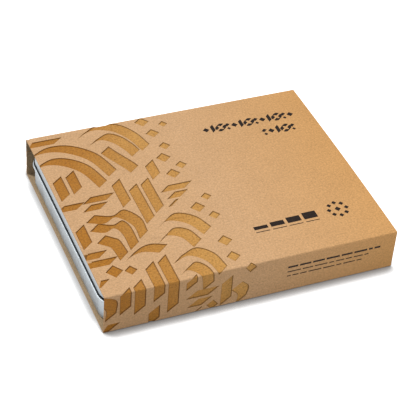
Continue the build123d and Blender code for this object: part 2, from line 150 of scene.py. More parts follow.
class ContentsSettings(bpy.types.PropertyGroup):
    tray: colour("Tray", (0.030, 0.030, 0.032), "Colour of the formed tray")
    paper: colour("Leaflet", (0.82, 0.79, 0.72), "Colour of the folded leaflet")
    resin: colour("Pen", (0.020, 0.020, 0.022), "Colour of the pen's barrel and cap")
    feed: colour("Feed", (0.025, 0.025, 0.025), "Colour of the feeds and grips")
    cartridge: colour("Cartridge", (0.030, 0.050, 0.160), "Colour of the filled cartridges")
    steel: colour("Steel", (0.78, 0.78, 0.77), "Colour of nibs and bright trim")


class StageSettings(bpy.types.PropertyGroup):
    camera: FloatVectorProperty(
        name="Camera", description="Place of the camera", size=3, subtype="TRANSLATION", unit="LENGTH",
        default=(-0.28093, -0.60315, 0.56925),
    )
    yaw: angle("Yaw", 25.117, "View's turn from +Y towards +X")
    pitch: angle("Pitch", -40.132, "View's tilt")
    roll: angle("Roll", 4.896, "View's roll")
    lens: number("Lens", 129.59, "Focal length in mm on a 36 mm frame")
    key: number("Key light", 2.05, "Strength of the sun, W/m2")
    world: number("World light", 0.47, "Strength of the light from all round")
    floor: share("Floor shade", 0.36, "Lightness of the floor")
    side: number("Side light", 0.82, "Strength of the near lamp at the right front, W")
    glow: number("Floor glow", 1.4, "Light the camera adds to the floor")


# ------------------------------------------------------------------ node helpers
class Nodes:
    """A shader or geometry tree under construction."""

    def __init__(self, tree):
        self.tree = tree

    def feed(self, socket, value):
        """Links a socket to another one, or sets its value."""
        if isinstance(value, bpy.types.NodeSocket):
            self.tree.links.new(value, socket)
        else:
            socket.default_value = value

    def add(self, kind, inputs=None, **settings):
        node = self.tree.nodes.new(kind)
        for key, value in settings.items():
            setattr(node, key, value)
        for key, value in (inputs or {}).items():
            self.feed(node.inputs[key], value)
        return node

    def math(self, operation, *values, clamp=False):
        node = self.add("ShaderNodeMath", operation=operation, use_clamp=clamp)
        for socket, value in zip(node.inputs, values):
            self.feed(socket, value)
        return node.outputs[0]

    def total(self, first, *others):
        for other in others:
            first = self.math("ADD", first, other)
        return first

    def blend(self, factor, first, second, kind="RGBA", way="MIX"):
        """A mix of two colours, or of two numbers if the kind is FLOAT."""
        node = self.add("ShaderNodeMix", data_type=kind, blend_type=way)
        inputs, output = ((0, 6, 7), 2) if kind == "RGBA" else ((0, 2, 3), 0)
        for index, value in zip(inputs, (factor, first, second)):
            self.feed(node.inputs[index], value)
        return node.outputs[output]

    def span(self, value, low, high, to_low=0.0, to_high=1.0):
        """A stretch of values carried to another one, and held at its ends."""
        return self.add("ShaderNodeMapRange", {
            "Value": value, "From Min": low, "From Max": high, "To Min": to_low, "To Max": to_high,
        }).outputs["Result"]

    def vary(self, value, to_low, to_high):
        """The middle stretch of a noise, where most of it lies, carried to another stretch."""
        return self.span(value, 0.3, 0.7, to_low, to_high)


def rgba(tint, *shares):
    """A colour with alpha; shares scale its channels, one for all or one for each."""
    shares = shares if len(shares) == 3 else 3 * (shares or (1.0,))
    return (*(channel * part for channel, part in zip(tint, shares)), 1.0)


class Finish(Nodes):
    """A material under construction; its pattern's coordinates are in mm."""

    def __init__(self, name, uv_map=None):
        self.material = bpy.data.materials.new(name)
        self.material.use_nodes = True
        super().__init__(self.material.node_tree)
        if uv_map:
            place = self.add("ShaderNodeUVMap", uv_map=uv_map).outputs["UV"]
        else:
            place = self.add("ShaderNodeTexCoord").outputs["Object"]
        self.place = self.stretched(place, (1000, 1000, 1000))

    def stretched(self, place, scale):
        return self.add("ShaderNodeMapping", {"Vector": place, "Scale": scale}).outputs["Vector"]

    def axis(self, name):
        return self.add("ShaderNodeSeparateXYZ", {"Vector": self.place}).outputs[name]

    def noise(self, scale, detail, roughness, distortion=0.0, stretch=None):
        """Noise whose scale is in features per mm, or per stretched mm."""
        return self.add("ShaderNodeTexNoise", {
            "Vector": self.stretched(self.place, stretch) if stretch else self.place, "Scale": scale,
            "Detail": detail, "Roughness": roughness, "Distortion": distortion,
        }).outputs["Fac"]

    def tinted(self, tint, shade):
        """A colour multiplied by a grey shade."""
        grey = self.add("ShaderNodeCombineColor", {"Red": shade, "Green": shade, "Blue": shade})
        return self.blend(1.0, tint, grey.outputs["Color"], way="MULTIPLY")

    def done(self, inputs, height=None, strength=0.0, distance=0.0):
        """The material, with its shader fed and, if a height is given, bumped."""
        if height is not None:
            bump = self.add("ShaderNodeBump", {"Height": height, "Strength": strength, "Distance": distance})
            inputs["Normal"] = bump.outputs["Normal"]
        shader = self.tree.nodes["Principled BSDF"]
        for key, value in inputs.items():
            self.feed(shader.inputs[key], value)
        return self.material


# ------------------------------------------------------------------ mesh helpers
def put(name, data):
    """A new object in the scene."""
    made = bpy.data.objects.new(name, data)
    bpy.context.scene.collection.objects.link(made)
    return made


def place_piece(name, mesh, body, slot, *replaced):
    """Puts a finished mesh into the scene as a piece of the object."""
    piece = put(name, mesh)
    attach(piece, body)
    if replaced:
        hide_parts(*replaced)


def mesh_from(name, vertices, faces, materials, indices=None):
    mesh = bpy.data.meshes.new(name)
    mesh.from_pydata(vertices, [], faces)
    for material in materials:
        mesh.materials.append(material)
    if indices is not None:
        mesh.polygons.foreach_set("material_index", indices)
    mesh.update()
    return mesh


def mesh_of(name, shape):
    """A new mesh with a bmesh's faces, which frees the bmesh."""
    mesh = bpy.data.meshes.new(name)
    shape.to_mesh(mesh)
    shape.free()
    return mesh


def check_closed(mesh):
    """Stops the script if a mesh has open edges or is inside out."""
    shape = bmesh.new()
    shape.from_mesh(mesh)
    loose = sum(1 for edge in shape.edges if len(edge.link_faces) != 2)
    volume = shape.calc_volume(signed=True)
    shape.free()
    if loose or volume <= 0:
        raise RuntimeError(f"{mesh.name}: {loose} open edges, volume {volume:.3g}")

# ------------------------------------------------------------------ sleeve: the folded board, unrolled
def sleeve_runs(settings):
    """Runs of the board's outside as (length, turn) in mm, from the back panel's cut edge to the flap."""
    half, high = 500 * (SLEEVE_HIGH.y - SLEEVE_LOW.y), 1000 * (SLEEVE_HIGH.z - settings.crown)
    crown, fold, board = settings.crown / MM, settings.fold / MM, settings.board / MM
    raw = settings.raw_edge / MM
    arch = (half**2 + crown**2) / (2 * crown)
    slope = math.asin(half / arch)
    take = fold * math.tan((math.pi / 2 - slope) / 2)
    top = 2 * (arch * slope - take)
    turn = (math.pi - top / arch) / 2
    square = math.pi / 2
    return [
        (high - take - raw, 0.0),
        (fold * turn, turn),
        (top, top / arch),
        (fold * turn, turn),
        (high - take - fold, 0.0),
        (fold * square, square),
        (2 * half - 2 * fold - board - 0.02, 0.0),
        (fold * square, square),
        (settings.flap / MM - fold, 0.0),
    ]


class BoardLine:
    """Where a point of the unrolled board lies on the folded sleeve, in mm."""

    def __init__(self, settings):
        self.runs = sleeve_runs(settings)
        self.starts = []
        y, z, heading, travelled = 1000 * SLEEVE_HIGH.y, settings.raw_edge / MM, math.pi / 2, 0.0
        for run, turn in self.runs:
            self.starts.append((travelled, y, z, heading))
            if turn:
                radius = run / turn
                y += radius * (math.sin(heading + turn) - math.sin(heading))
                z -= radius * (math.cos(heading + turn) - math.cos(heading))
            else:
                y += run * math.cos(heading)
                z += run * math.sin(heading)
            heading += turn
            travelled += run
        self.length = travelled

    def breaks(self, fold_steps=6, top_step=7.0):
        """Distances along the board at which its direction changes."""
        marks = [0.0]
        for (start, *_), (run, turn) in zip(self.starts, self.runs):
            steps = 1 if not turn else fold_steps if run < 10 else math.ceil(run / top_step)
            marks += [start + run * step / steps for step in range(1, steps + 1)]
        return marks

    def place(self, along):
        """Numpy arrays of y, z and the outward normal's y, z for distances along the board."""
        along = np.asarray(along, dtype=float)
        starts = np.array([start[0] for start in self.starts])
        index = np.clip(np.searchsorted(starts, along, side="right") - 1, 0, len(starts) - 1)
        _, y0, z0, heading0 = (np.array(column)[index] for column in zip(*self.starts))
        run, turn = (np.array(column)[index] for column in zip(*self.runs))
        gone = along - starts[index]
        bend = turn / run
        heading = heading0 + gone * bend
        curved = np.abs(bend) > 1e-12
        radius = 1 / np.where(curved, bend, 1)
        y = y0 + np.where(curved, radius * (np.sin(heading) - np.sin(heading0)), gone * np.cos(heading0))
        z = z0 - np.where(curved, radius * (np.cos(heading) - np.cos(heading0)), -gone * np.sin(heading0))
        return y, z, np.sin(heading), -np.cos(heading)

# ------------------------------------------------------------------ pen strokes for the pressed pattern
class Pen:
    """A broad pen held at one angle; it turns paths in mm into outlines."""

    def __init__(self, nib, angle):
        self.angle = angle
        self.half = Vector((math.cos(angle), math.sin(angle))) * nib / 2

    def sweep(self, points):
        """The nib's trace along a path, parted where the nib runs along the path."""
        points = [Vector(point) for point in points]
        runs, run, side = [], [points[0]], 0
        for before, point in zip(points, points[1:]):
            now = 1 if (point - before).cross(self.half) > 0 else -1
            if side and now != side:
                runs.append(run)
                run = [before]
            run.append(point)
            side = now
        runs.append(run)
        return [
            [point + self.half for point in run] + [point - self.half for point in reversed(run)]
            for run in runs if len(run) > 1
        ]

    def curve(self, *knots, steps=9):
        """A stroke along a smooth path through the knots."""
        knots = [Vector(knot) for knot in knots]
        knots = [2 * knots[0] - knots[1]] + knots + [2 * knots[-1] - knots[-2]]
        path = []
        for a, b, c, d in zip(knots, knots[1:], knots[2:], knots[3:]):
            for step in range(steps):
                s = step / steps
                path.append(0.5 * (2 * b + (c - a) * s + (2 * a - 5 * b + 4 * c - d) * s**2
                                   + (3 * b - a - 3 * c + d) * s**3))
        return self.sweep(path + [knots[-2]])

    def down(self, x, top, foot):
        """Downstroke whose slanted ends touch two levels."""
        return self.sweep([(x, top - self.half.y), (x, foot + self.half.y)])

    def across(self, left, right, y):
        """Cross stroke whose slanted ends touch two sides."""
        return self.sweep([(left + self.half.x, y), (right - self.half.x, y)])

    def lozenge(self, x, y, size=1.0):
        step = Vector((-self.half.y, self.half.x)) * size
        half = self.half * size
        corners = (half + step, -half + step, -half - step, half - step)
        return [[Vector((x, y)) + corner for corner in corners]]

    def crescent(self, x, y, radius, upper):
        """Half a round, just short of where the pen's own edge lies along it."""
        start = (self.angle if upper else self.angle - math.pi) + math.radians(3)
        sweep = math.pi - math.radians(6)
        steps = math.ceil(sweep / math.radians(9))
        turns = [start + sweep * step / steps for step in range(steps + 1)]
        return self.sweep([(x + radius * math.cos(turn), y + radius * math.sin(turn)) for turn in turns])

# The pattern's strokes: distances in mm from the board's left end, and from the top panel's middle line
# towards the back. The back panel starts at 71, the front panel at -71.
DOWNSTROKES = (
    (20.6, 100, 78), (28.6, 97, 72), (59, 100, 84), (5.5, 31, 9), (44.5, 12, -23), (52.6, 15, -16),
    (4.6, -13, -33), (31, -52, -82), (39.2, -49, -92), (12.0, -67, -86), (20.2, -63, -88), (70.4, -75, -96),
    (53.2, -93, -99), (67, 99, 88), (60.9, 30, 12),
    (14.0, 34, 13), (36.6, 19, -6), (49.6, -68.5, -79.2), (28.6, -84.6, -99), (3.6, 84, 69),
)
CROSS_STROKES = (
    (-4, 15.5, 92.4), (-4, 12.0, 86.0), (-4, 20.5, 63.8), (34, 53.5, 94.5), (36.5, 51, 88.0),
    (12.4, 33, 5.6), (10.6, 27, -0.9), (-4, 14.6, 2.6), (57.8, 79, 2.4), (59.3, 74, -4.1), (57.5, 66, -10.6),
    (-4, 13.6, -38.8), (-4, 17.4, -45.3), (-4, 9.4, -93.5), (46.6, 66, -83.2), (47.6, 62.5, -89.7),
    (-4, 7.5, -60.5),
)
CURVES = (
    ((-6, 50.5), (6, 56.5), (19, 54.5), (31.5, 43), (38, 25)),
    ((-6, 40), (5, 45.2), (15, 42.5), (24, 33), (29.5, 17)),
    ((31.5, 64), (42, 69.5), (53, 66), (60.5, 55.5), (64.5, 42)),
    ((36, 55.5), (44, 59.2), (50.5, 54.5), (55, 45.5), (57, 38.5)),
    ((40.6, 47), (43.2, 41), (48.6, 30.4), (51.2, 24.5)),
    ((12.6, -9.8), (22, -13.2), (30, -10.2), (36.6, -19.5), (36.6, -31)),
    ((12.4, -17.2), (20, -20.5), (26, -18.6), (28.8, -25), (28.8, -38)),
    ((13, -27.5), (17, -30.8), (19.4, -33.8), (20.6, -44)),
    ((46.8, -27.5), (56, -21.5), (66, -27), (71.5, -38)),
    ((44, -38.5), (51, -33), (58.5, -36.5), (62.5, -46)),
    ((-5, -72.5), (3.8, -77), (3.8, -86)),
    ((47, -55), (57, -51.5), (65, -58.5), (68, -70)),
    ((47.6, -64.5), (53, -62), (58, -68), (59.5, -79)),
    ((66, 78), (73, 83), (80, 78)),
    ((76.5, -84), (80.5, -88.5), (79.5, -95)),
    ((23.4, -45.2), (29, -42.2), (35, -41.5), (43, -44.5)),
)
LOZENGES = (
    (12.4, 75.5, 0.84), (39.6, 79.6, 0.8), (48.2, 78.4, 0.8), (70.6, 66.5, 0.78), (73.0, 54.0, 0.72),
    (70.8, 29.8, 0.76), (78.3, 20.4, 0.6), (71.0, 14.2, 0.74), (73.5, -18.0, 0.76), (81.5, -10.6, 0.55),
    (80.0, -27.0, 0.6), (11.6, -53.5, 0.84), (20.4, -55.2, 0.62), (77.5, -48.5, 0.74), (77.2, -61.5, 0.7),
    (84.0, -72.5, 0.6), (62.6, -93.8, 0.6), (75.5, 40.2, 0.62), (82.2, 61.0, 0.5), (77.0, 92.5, 0.7),
)


def rectangle(left, right, low, high):
    return [Vector(corner) for corner in ((left, low), (right, low), (right, high), (left, high))]


def stroke_outlines(settings):
    """The pressed pattern: outlines in mm from the sleeve's middle, second figure towards the back."""
    pen = Pen(settings.nib / MM, settings.nib_angle)
    outlines = []
    for x, top, foot in DOWNSTROKES:
        outlines += pen.down(x, top, foot)
    for left, right, level in CROSS_STROKES:
        outlines += pen.across(left, right, level)
    for knots in CURVES:
        outlines += pen.curve(*knots)
    for x, y, size in LOZENGES:
        outlines += pen.lozenge(x, y, size)
    corner = Vector((1000 * SLEEVE_LOW.x, 0))
    return [[corner + point for point in outline] for outline in outlines]


def mark_outlines():
    """Plain printed marks: two rows of pen touches, bars over thin lines and a ring of lozenges, in mm."""
    fine = Pen(3.0, math.radians(40))
    marks = []

    def lay(x, y, outlines):
        marks.extend([[Vector((x, y)) + point for point in outline] for outline in outlines])

    touches = (
        fine.lozenge(1.2, 0, 1.0),
        fine.down(1.0, 4.2, -3.6),
        fine.crescent(1.4, 0.4, 2.4, True) + fine.crescent(1.6, -0.4, 2.4, False),
        fine.curve((-0.8, 0.6), (0.8, 1.8), (2.2, 0.8), (3.6, 1.8)) + fine.lozenge(1.4, -2.3, 0.6),
    )
    for row, (count, x, y) in enumerate(((13, 17.0, 47.0), (5, 50.0, 35.0))):
        for step in range(count):
            lay(x + MARK_PITCH * step, y, touches[(step * 5 + row * 3) % 4])
    for step, thick in enumerate((1.1, 1.5, 1.9, 2.3)):
        left, level = 10.0 + 10.2 * step, -46.0
        marks.append(rectangle(left, left + 8.4, level, level + 2.4 * thick))
        marks.append(rectangle(left, left + 8.4, level - 2.4, level - 1.8))
    ring_x, ring_y, ring_radius = 62.5, -43.2, 5.4
    for step in range(8):
        turn = math.pi / 4 * step
        x, y = ring_x + ring_radius * math.cos(turn), ring_y + ring_radius * math.sin(turn)
        lay(x, y, fine.lozenge(0, 0, 0.72))
    lay(ring_x, ring_y, fine.lozenge(0, 0, 0.9))
    return marks


def ruled_lines():
    """Three ruled lines of short dashes low on the front panel, in mm."""
    chance = random.Random(5)
    dashes = []
    for row, (right, thick) in enumerate(((77.0, 1.3), (70.0, 0.75), (67.0, 0.75))):
        x, level = 20.0, -79.6 - 3.1 * row
        while x < right - 1.5:
            long = min(chance.uniform(2.2, 8.5), right - x)
            dashes.append(rectangle(x, x + long, level, level + thick))
            x += long + 1.1
    return dashes

# ------------------------------------------------------------------ the sleeve's mesh
def inset_outline(outline, width):
    """The same closed outline, moved inwards."""
    count = len(outline)
    area = sum(outline[i - 1].cross(outline[i]) for i in range(count))
    side = 1 if area > 0 else -1
    moved = []
    for i, point in enumerate(outline):
        before, after = point - outline[i - 1], outline[(i + 1) % count] - point
        if before.length < 1e-6 or after.length < 1e-6:
            continue
        first = Vector((-before.y, before.x)).normalized() * side
        second = Vector((-after.y, after.x)).normalized() * side
        middle = first + second
        if middle.length < 0.5:
            continue
        moved.append(point + middle * (2 * width / middle.length_squared))
    return moved


def windings(points, corners):
    """How many times an outline turns round each point; zero outside it."""
    first, second = corners, np.roll(corners, -1, axis=0)
    x, y = points[:, :1], points[:, 1:]
    rise = (second[:, 0] - first[:, 0]) * (y - first[:, 1])
    side = rise - (x - first[:, 0]) * (second[:, 1] - first[:, 1])
    rises = (first[:, 1] <= y) & (second[:, 1] > y) & (side > 0)
    falls = (first[:, 1] > y) & (second[:, 1] <= y) & (side < 0)
    return rises.sum(axis=1) - falls.sum(axis=1)


def depth_inside(points, outline):
    """How far each point lies inside an outline; zero outside."""
    corners = np.array([(corner.x, corner.y) for corner in outline])
    low, high = corners.min(axis=0), corners.max(axis=0)
    near = np.all((points > low) & (points < high), axis=1)
    depth = np.zeros(len(points))
    if not near.any():
        return depth
    inner = points[near]
    first, second = corners, np.roll(corners, -1, axis=0)
    x, y = inner[:, :1], inner[:, 1:]
    edge = second - first
    size = np.maximum((edge**2).sum(axis=1), 1e-12)
    reach = np.clip(((x - first[:, 0]) * edge[:, 0] + (y - first[:, 1]) * edge[:, 1]) / size, 0, 1)
    gap = np.hypot(x - first[:, 0] - reach * edge[:, 0], y - first[:, 1] - reach * edge[:, 1]).min(axis=1)
    depth[near] = np.where(windings(inner, corners) != 0, gap, 0)
    return depth


def triangulate(size, marks, outlines):
    """Triangles of the unrolled board, cut along its fold lines and all outlines."""
    wide, tall = size
    points = [Vector((0, 0)), Vector((wide, 0)), Vector((wide, tall)), Vector((0, tall))]
    edges = [(0, 1), (1, 2), (2, 3), (3, 0)]
    for mark in marks[1:-1]:
        edges.append((len(points), len(points) + 1))
        points += [Vector((0, mark)), Vector((wide, mark))]
    for outline in outlines:
        first = len(points)
        points += [Vector((min(max(point.x, 0), wide), min(max(point.y, 0), tall))) for point in outline]
        edges += [(first + i, first + (i + 1) % len(outline)) for i in range(len(outline))]
    found = delaunay_2d_cdt(points, edges, [], 0, TOUCH, False)
    return np.array([(corner.x, corner.y) for corner in found[0]]), np.array(found[2])


def rim_of(triangles):
    """The open rim of a patch of triangles, as one loop of corners."""
    border = {}
    for triangle in triangles:
        for a, b in zip(triangle, triangle[1:] + triangle[:1]):
            border[(a, b)] = not border.pop((b, a), False)
    following = {a: b for (a, b), is_open in border.items() if is_open}
    rim = [next(iter(following))]
    while following[rim[-1]] != rim[0]:
        rim.append(following[rim[-1]])
    return rim


def lining(points, marks, wide):
    """The board's inside, unrolled within a rim: corners, triangles and the corner behind each rim point."""
    edges = [(i, (i + 1) % len(points)) for i in range(len(points))]
    rows = {}
    for i, point in enumerate(points):
        for mark in marks[1:-1]:
            if abs(point.y - mark) < TOUCH and (point.x < TOUCH or point.x > wide - TOUCH):
                rows.setdefault(mark, []).append(i)
    edges += [tuple(ends) for ends in rows.values() if len(ends) == 2]
    found = delaunay_2d_cdt(points, edges, [], 1, 1e-5, True)
    behind = {old: new for new, olds in enumerate(found[3]) for old in olds}
    return np.array([(corner.x, corner.y) for corner in found[0]]), found[2], behind


def board_mesh(name, settings, materials):
    """The folded sleeve as one closed skin; its materials come in the order of BARE to STROKE_EDGE."""
    line = BoardLine(settings)
    marks = line.breaks()
    wide = 1000 * (SLEEVE_HIGH.x - SLEEVE_LOW.x)
    middle = (line.starts[2][0] + line.starts[3][0]) / 2
    slope, press = settings.press_slope / MM, settings.press_depth / MM

    def unroll(outline):
        return [Vector((point.x + wide / 2, middle - point.y)) for point in outline]

    def skin(places, depths):
        y, z, normal_y, normal_z = line.place(places[:, 1])
        return np.stack([places[:, 0] - wide / 2, y - normal_y * depths, z - normal_z * depths], axis=1)

    strokes = [unroll(outline) for outline in stroke_outlines(settings)]
    insets = [inset_outline(stroke, slope) for stroke in strokes]
    inks = [unroll(outline) for outline in mark_outlines() + ruled_lines()]
    shapes = strokes + [inset for inset in insets if len(inset) > 2] + inks
    flat, triangles = triangulate((wide, line.length), marks, shapes)

    middles = flat[triangles].mean(axis=1)
    deepest = np.max([depth_inside(middles, stroke) for stroke in strokes], axis=0)
    kinds = np.full(len(triangles), BARE)
    kinds[deepest > 0] = STROKE
    # the sloping edges get the darker varnish: painted shade in the pressed recesses
    kinds[(deepest > 0) & (deepest < EDGE_SHARE * slope)] = STROKE_EDGE
    for outline in inks:
        kinds[depth_inside(middles, outline) > 0] = INK
    sunk = np.max([np.clip(depth_inside(flat, stroke) / slope, 0, 1) for stroke in strokes], axis=0)
    outer = skin(flat, press * (sunk * sunk * (3 - 2 * sunk)))

    triangles = triangles.tolist()
    rim = rim_of(triangles)
    inner_flat, inner_triangles, behind = lining([Vector(flat[index]) for index in rim], marks, wide)
    inner = skin(inner_flat, np.full(len(inner_flat), settings.board / MM))

    base, count = len(flat), len(rim)
    faces = [triangle[::-1] for triangle in triangles]
    faces += [[base + index for index in triangle] for triangle in inner_triangles]
    for i, index in enumerate(rim):
        after = (i + 1) % count
        faces.append([index, rim[after], base + behind[after], base + behind[i]])
    slots = kinds.tolist() + [INSIDE] * len(inner_triangles) + [CUT_EDGE] * count
    mesh = mesh_from(name, (np.concatenate([outer, inner]) * MM).tolist(), faces, materials, slots)
    layer = mesh.uv_layers.new(name="sheet")
    order = np.empty(len(mesh.loops), dtype=np.int32)
    mesh.loops.foreach_get("vertex_index", order)
    sheet_places = (np.concatenate([flat, inner_flat]) * MM).astype(np.float32)
    layer.data.foreach_set("uv", sheet_places[order].ravel())
    return mesh


# ------------------------------------------------------------------ finishes of board and plate
class BoardFinish(Finish):
    """A finish on kraft board: its fibres, its shade of clouds and grain, and its height for bump."""

    def __init__(self, name):
        super().__init__(name, "sheet")
        grain = self.noise(0.95, 4.0, 0.72)
        self.fibres = self.noise(1.0, 4.0, 0.65, 0.6, stretch=(0.30, 2.3, 1.0))
        self.shade = self.total(
            self.vary(self.noise(0.42, 4.0, 0.62), -0.035, 0.035),
            self.vary(self.noise(0.055, 3.0, 0.55), -0.03, 0.03),
            self.span(self.fibres, 0.28, 0.72, -0.05, 0.05),
            self.vary(self.noise(1.0, 3.0, 0.6, 0.8, stretch=(1.5, 0.8, 1.0)), -0.075, 0.065),
            self.span(grain, 0.34, 0.66, -0.20, 0.16),
            1.0,
        )
        self.height = self.total(self.math("MULTIPLY", self.fibres, 0.6), self.math("MULTIPLY", grain, 0.5))


def kraft_material(settings):
    """Bare board, warmer towards the right end."""
    board = BoardFinish("kraft")
    pale = rgba(settings.kraft, 1.02, 1.06, 1.16)
    warm = board.blend(board.span(board.fibres, 0.35, 0.65), rgba(settings.kraft), pale)
    right_end = board.span(board.axis("X"), *KRAFT_WARMTH)
    warm = board.blend(right_end, warm, rgba(settings.kraft, 0.99, 0.89, 0.66))
    shader = {"Base Color": board.tinted(warm, board.shade), "Roughness": 0.78, "Specular IOR Level": 0.16}
    return board.done(shader, board.height, 0.22, 0.00012)


def varnish_material(name, settings, painted_shade=1.0):
    """Pressed strokes: varnish soaked into the board, strong at the left end and fading to the right; a
    darkening share below one paints shade on the strokes' sloping edges.
    """
    board = BoardFinish(name)
    drift = board.vary(board.noise(0.035, 2.0, 0.5), -0.16, 0.16)
    fade = board.math("ADD", board.span(board.axis("X"), *VARNISH_FADE), drift, clamp=True)
    light = tuple(low * 0.15 + high * 0.85 for low, high in zip(settings.varnish, FADED_VARNISH))
    # a share below one darkens the varnish: painted shade for the strokes' sloping edges
    tone = board.blend(fade, rgba(settings.varnish, painted_shade), rgba(light, painted_shade))
    flecks = board.span(board.noise(1.0, 4.0, 0.7, 0.3, stretch=(0.85, 1.15, 1.0)), 0.50, 0.64)
    strength = board.math("MULTIPLY", flecks, board.span(fade, 0.0, 1.0, 0.66, 0.52))
    tone = board.blend(strength, tone, rgba(settings.varnish, 0.50, 0.42, 0.4))
    shader = {"Base Color": board.tinted(tone, board.shade), "Roughness": 0.50, "Specular IOR Level": 0.2}
    return board.done(shader, board.height, 0.12, 0.0001)


def ink_material(settings):
    """Printed ink, letting a little of the board's fibre through."""
    board = BoardFinish("printed_ink")
    worn = board.math("MULTIPLY", board.span(board.fibres, 0.58, 0.74), 0.10)
    tone = board.tinted(board.blend(worn, rgba(settings.ink), rgba(settings.kraft)), board.shade)
    return board.done({"Base Color": tone, "Roughness": 0.62, "Specular IOR Level": 0.1})


def board_inside_material(settings):
    """The sleeve's inside: duller, greyer board, streaked along the run of its fibres, and darker as painted
    shade inside the sleeve.
    """
    board = BoardFinish("kraft_inside")
    streaks = board.vary(board.noise(1.0, 3.0, 0.6, stretch=(1.1, 0.05, 1.0)), 0.86, 1.10)
    # greyer board, and darker than the bare kraft: painted shade inside the sleeve
    tone = board.tinted(rgba(settings.kraft, 0.60, 0.72, 0.86), board.math("MULTIPLY", board.shade, streaks))
    shader = {"Base Color": tone, "Roughness": 0.85, "Specular IOR Level": 0.2}
    return board.done(shader, board.height, 0.25, 0.00012)


def cut_edge_material(settings):
    """Cut edge of the board: pale, torn fibres in layers."""
    edge = Finish("kraft_cut_edge")
    rough = edge.noise(1.7, 4.0, 0.7)
    shade = edge.total(edge.vary(rough, 0.80, 1.12), edge.vary(edge.noise(6.0, 2.0, 0.6), -0.07, 0.07))
    tone = edge.tinted(rgba(settings.kraft, 0.92), shade)
    return edge.done({"Base Color": tone, "Roughness": 0.9, "Specular IOR Level": 0.15}, rough, 0.4, 0.0002)


def plate_material(name, settings, tone, neck=None):
    """Satin tinplate with grain, streaks and clouds; above the neck's foot, if given, much darker: painted
    shade for the groove between bead and lid.
    """
    plate = Finish(name)
    grain, cloud = plate.noise(5.5, 3.0, 0.75), plate.noise(0.09, 3.0, 0.55)
    streaks = plate.noise(1.0, 3.0, 0.6, stretch=(0.06, 2.4, 2.4))
    shade = plate.total(
        plate.vary(grain, 0.93, 1.07), plate.vary(cloud, -0.05, 0.05), plate.vary(streaks, -0.03, 0.03))
    if neck:
        # painted shade: the plate above the neck's foot is darkened to about a sixth, where the groove under
        # the lid lies in shade
        shade = plate.math("MULTIPLY", shade, plate.span(plate.axis("Z"), neck, neck + 0.12, 1.0, 0.16))
    tint = plate.tinted(rgba(settings.plate, tone), shade)
    rough = plate.total(
        plate.vary(grain, -0.06, 0.06), settings.plate_roughness, plate.vary(cloud, -0.05, 0.05))
    return plate.done({"Base Color": tint, "Metallic": 1.0, "Roughness": rough}, grain, 0.16, 0.00006)

# ------------------------------------------------------------------ tin: profiles, rings and hinges
def rounded(points, radii, steps=6):
    """A line in mm with its inner corners rounded."""
    points = [Vector(point) for point in points]
    line = [points[0]]
    for before, corner, after, radius in zip(points, points[1:], points[2:], radii):
        come, leave = (before - corner).normalized(), (after - corner).normalized()
        half = come.angle(leave) / 2
        if radius <= 0 or half > math.radians(89.5):
            line.append(corner)
            continue
        reach = radius / math.tan(half)
        centre = corner + (come + leave).normalized() * (radius / math.sin(half))
        first, last = corner + come * reach - centre, corner + leave * reach - centre
        turn = first.angle_signed(last)
        for step in range(steps + 1):
            line.append(centre + Matrix.Rotation(-turn * step / steps, 2) @ first)
    return line + [points[-1]]


def doubled(line, thickness):
    """The outline of a sheet whose outside is the line; its inside lies to the line's left."""
    inside = []
    for i, point in enumerate(line):
        sides = []
        for first, last in ((i - 1, i), (i, i + 1)):
            if first >= 0 and last < len(line):
                edge = (line[last] - line[first]).normalized()
                sides.append(Vector((-edge.y, edge.x)))
        middle = sides[0] + sides[-1]
        inside.append(point + middle * (2 * thickness / middle.length_squared))
    return line + inside[::-1]


def start_tree(name, given, *inputs):
    """A geometry tree that works on given geometry; its last input is the finish."""
    tree = bpy.data.node_groups.new(name, "GeometryNodeTree")
    tree.interface.new_socket(given, in_out="INPUT", socket_type="NodeSocketGeometry")
    for label, kind, value in inputs:
        socket = tree.interface.new_socket(label, in_out="INPUT", socket_type=f"NodeSocket{kind}")
        socket.default_value = value
    tree.interface.new_socket("Finish", in_out="INPUT", socket_type="NodeSocketMaterial")
    nodes = Nodes(tree)
    return nodes, nodes.add("NodeGroupInput").outputs


def end_tree(nodes, given, result, geometry):
    """Makes a tree's instances real, gives them the finish and hands them out."""
    nodes.tree.interface.new_socket(result, in_out="OUTPUT", socket_type="NodeSocketGeometry")
    real = nodes.add("GeometryNodeRealizeInstances", {"Geometry": geometry})
    dressed = nodes.add("GeometryNodeSetMaterial", {
        "Geometry": real.outputs["Geometry"], "Material": given["Finish"],
    })
    nodes.add("NodeGroupOutput", {result: dressed.outputs["Geometry"]})
    return nodes.tree


def ring_tree():
    """Sweeps the object's own edges, as a section, round a rounded rectangle."""
    nodes, given = start_tree(
        "wall_round_plan", "Section", ("Length", "Float", 0.17), ("Depth", "Float", 0.137),
        ("Corner radius", "Float", 0.012), ("Corner steps", "Int", 24), ("Middle", "Vector", (0, 0, 0)),
    )
    plan = nodes.add("GeometryNodeCurvePrimitiveQuadrilateral", {
        "Width": given["Length"], "Height": given["Depth"],
    })
    fillet = nodes.add("GeometryNodeFilletCurve", {
        "Curve": plan.outputs["Curve"], "Count": given["Corner steps"], "Radius": given["Corner radius"],
    }, mode="POLY")
    moved = nodes.add("GeometryNodeSetPosition", {
        "Geometry": fillet.outputs["Curve"], "Offset": given["Middle"],
    })
    section = nodes.add("GeometryNodeMeshToCurve", {"Mesh": given["Section"]})
    wall = nodes.add("GeometryNodeCurveToMesh", {
        "Curve": moved.outputs["Geometry"], "Profile Curve": section.outputs["Curve"],
    })
    return end_tree(nodes, given, "Wall", wall.outputs["Mesh"])


